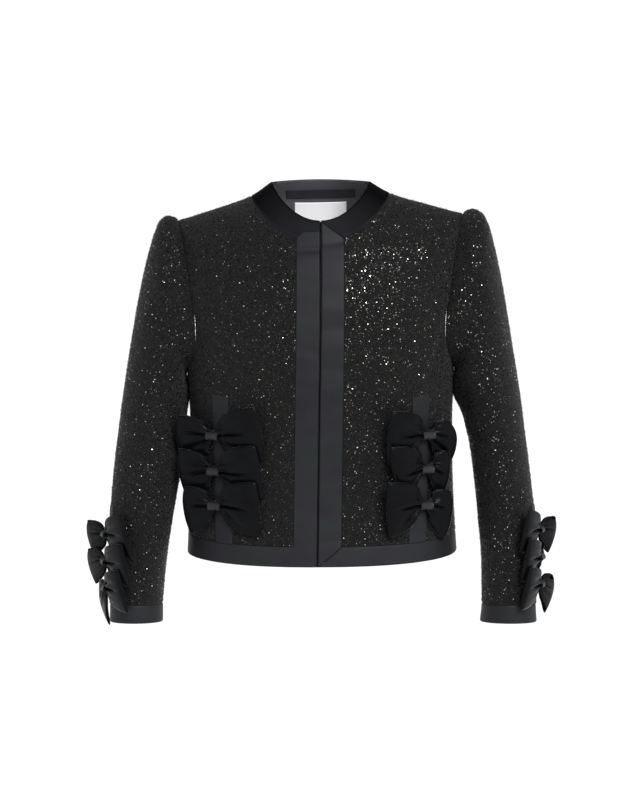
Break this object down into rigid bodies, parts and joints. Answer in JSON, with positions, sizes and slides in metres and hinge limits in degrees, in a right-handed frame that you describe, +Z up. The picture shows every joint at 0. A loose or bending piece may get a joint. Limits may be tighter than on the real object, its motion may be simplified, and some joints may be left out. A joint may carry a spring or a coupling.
{
  "type": "sequin jacket",
  "caption": "Cropped collarless tweed jacket, worn shape, with satin bands round the neck, front, hem and cuffs and stacked satin bows.",
  "frame": {"origin": "middle of the neck at the height of the shoulder line, where the wearer's neck and shoulders hold the jacket up", "axes": "+X towards the wearer's left, -Y the way the front faces, +Z up"},
  "size_m": [0.6499, 0.2411, 0.6043],
  "materials": {
    "sequin_tweed": "black woven tweed with small dark and pale sequins",
    "black_satin": "soft sheen black satin",
    "grey_lining": "dark grey satin lining",
    "blank_label": "matt white woven tape, blank"
  },
  "bodies": {
    "root": {"front_right": "sequin_tweed", "front_band_right": "black_satin", "sleeve_head_right": "sequin_tweed", "sleeve_upper_right": "sequin_tweed", "sleeve_lower_right": "sequin_tweed", "cuff_right": "black_satin", "front_left": "sequin_tweed", "front_band_left": "black_satin", "sleeve_head_left": "sequin_tweed", "sleeve_upper_left": "sequin_tweed", "sleeve_lower_left": "sequin_tweed", "cuff_left": "black_satin", "back_upper": "sequin_tweed", "back_lower": "sequin_tweed", "neck_band": "black_satin", "hem_band_right": "black_satin", "hem_band_left": "black_satin", "hem_band_back": "black_satin", "facing_back": "grey_lining", "hanging_loop": "black_satin", "label": "blank_label", "strip_front_right": "black_satin", "strip_sleeve_right": "black_satin", "strip_front_left": "black_satin", "strip_sleeve_left": "black_satin", "bow_front_right_1": "black_satin", "knot_front_right_1": "black_satin", "bow_front_right_2": "black_satin", "knot_front_right_2": "black_satin", "bow_front_right_3": "black_satin", "knot_front_right_3": "black_satin", "bow_front_left_1": "black_satin", "knot_front_left_1": "black_satin", "bow_front_left_2": "black_satin", "knot_front_left_2": "black_satin", "bow_front_left_3": "black_satin", "knot_front_left_3": "black_satin", "bow_sleeve_right_1": "black_satin", "knot_sleeve_right_1": "black_satin", "bow_sleeve_right_2": "black_satin", "knot_sleeve_right_2": "black_satin", "bow_sleeve_right_3": "black_satin", "knot_sleeve_right_3": "black_satin", "bow_sleeve_left_1": "black_satin", "knot_sleeve_left_1": "black_satin", "bow_sleeve_left_2": "black_satin", "knot_sleeve_left_2": "black_satin", "bow_sleeve_left_3": "black_satin", "knot_sleeve_left_3": "black_satin"}
  },
  "joints": []
}
